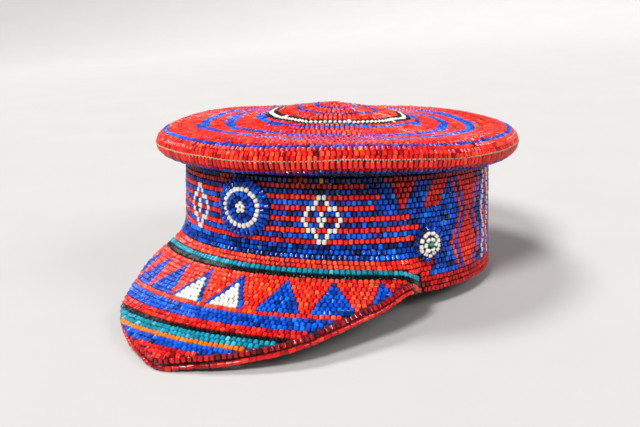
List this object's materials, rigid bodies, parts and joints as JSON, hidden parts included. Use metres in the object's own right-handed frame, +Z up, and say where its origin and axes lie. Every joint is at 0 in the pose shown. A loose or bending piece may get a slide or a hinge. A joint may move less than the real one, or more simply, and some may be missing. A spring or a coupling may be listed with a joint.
{
  "type": "beaded peaked cap",
  "caption": "Peaked cap covered in glass seed beads: wide round crown with a rolled rim, flared band, long visor, oval badge and side rosettes.",
  "frame": {"origin": "on the floor, under the middle of the cap's bounding box", "axes": "+Z up, the visor points along -Y, +X is the wearer's left; the cap leans back 4.2 degrees as it rests"},
  "size_m": [0.215, 0.2762, 0.1014],
  "materials": {
    "red_glass_beads": "opaque scarlet and orange-red glass seed beads, glossy, stitched in rows",
    "dark_red_glass_beads": "opaque dark red glass seed beads, glossy, strung end to end",
    "blue_glass_beads": "opaque cobalt and navy glass seed beads, glossy, stitched in rows",
    "white_glass_beads": "opaque white glass seed beads, glossy"
  },
  "bodies": {
    "root": {"crown_top": "red_glass_beads", "crown_underside": "red_glass_beads", "band": "blue_glass_beads", "visor": "red_glass_beads", "visor_edge_strand": "dark_red_glass_beads", "badge": "blue_glass_beads", "rosette_left": "white_glass_beads", "rosette_right": "white_glass_beads"}
  },
  "joints": []
}
